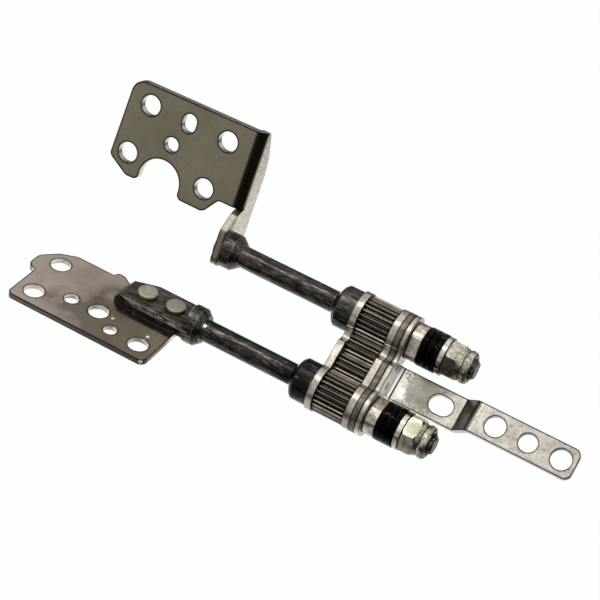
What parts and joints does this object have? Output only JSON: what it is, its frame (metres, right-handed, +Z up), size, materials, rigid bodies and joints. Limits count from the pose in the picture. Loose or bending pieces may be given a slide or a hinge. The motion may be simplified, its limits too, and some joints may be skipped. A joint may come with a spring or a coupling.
{
  "type": "twin-shaft laptop hinge",
  "caption": "Geared twin-shaft hinge with two sheet brackets and a centre bracket, for a laptop whose lid folds right round.",
  "frame": {"origin": "middle of the front row of two screw holes in the base bracket, on its underside", "axes": "+X along the shafts towards the nuts, +Y from the front row of holes towards the shafts, +Z up out of the base bracket"},
  "size_m": [0.0826, 0.0287, 0.0278],
  "materials": {
    "nickel_display": "nickel plated, satin",
    "nickel_base": "nickel plated, fine scratches",
    "nickel_pale": "nickel plated, tumbled",
    "black_oxide": "black oxide, oiled",
    "gear_steel": "hardened steel, oiled",
    "spring_steel": "black spring steel, greased"
  },
  "bodies": {
    "base": {"base_bracket": "nickel_base", "base_rivets": "nickel_display", "base_shaft": "black_oxide", "base_gear": "gear_steel", "base_cam_disc": "nickel_pale", "base_disc_springs": "spring_steel", "base_washer": "nickel_pale", "base_nut": "nickel_pale"},
    "link": {"inner_link_plate": "nickel_pale", "outer_link_plate": "nickel_pale", "friction_plate": "gear_steel", "centre_bracket": "nickel_pale", "idler_pins": "gear_steel"},
    "lower_idler": {"lower_idler_gear": "gear_steel"},
    "upper_idler": {"upper_idler_gear": "gear_steel"},
    "display": {"display_bracket": "nickel_display", "display_shaft": "black_oxide", "display_gear": "gear_steel", "display_cam_disc": "nickel_pale", "display_disc_springs": "spring_steel", "display_washer": "nickel_pale", "display_nut": "nickel_pale"}
  },
  "joints": [
    {"name": "link_turn", "type": "hinge", "parent": "base", "child": "link", "pos_m": [0, 0.0083, 0.0016], "axis": [1, 0, 0], "range_deg": [-127, 53]},
    {"name": "display_turn", "type": "hinge", "parent": "link", "child": "display", "pos_m": [0, 0.01788, 0.00882], "axis": [1, 0, 0], "range_deg": [-127, 53]},
    {"name": "lower_idler_turn", "type": "hinge", "parent": "link", "child": "lower_idler", "pos_m": [0, 0.01189, 0.00431], "axis": [1, 0, 0], "range_deg": [-254, 106]},
    {"name": "upper_idler_turn", "type": "hinge", "parent": "link", "child": "upper_idler", "pos_m": [0, 0.01429, 0.00611], "axis": [1, 0, 0], "range_deg": [-106, 254]}
  ],
  "couplings": [
    {"joint": "display_turn", "follows": "link_turn", "ratio": 1},
    {"joint": "lower_idler_turn", "follows": "link_turn", "ratio": 2},
    {"joint": "upper_idler_turn", "follows": "link_turn", "ratio": -2}
  ]
}
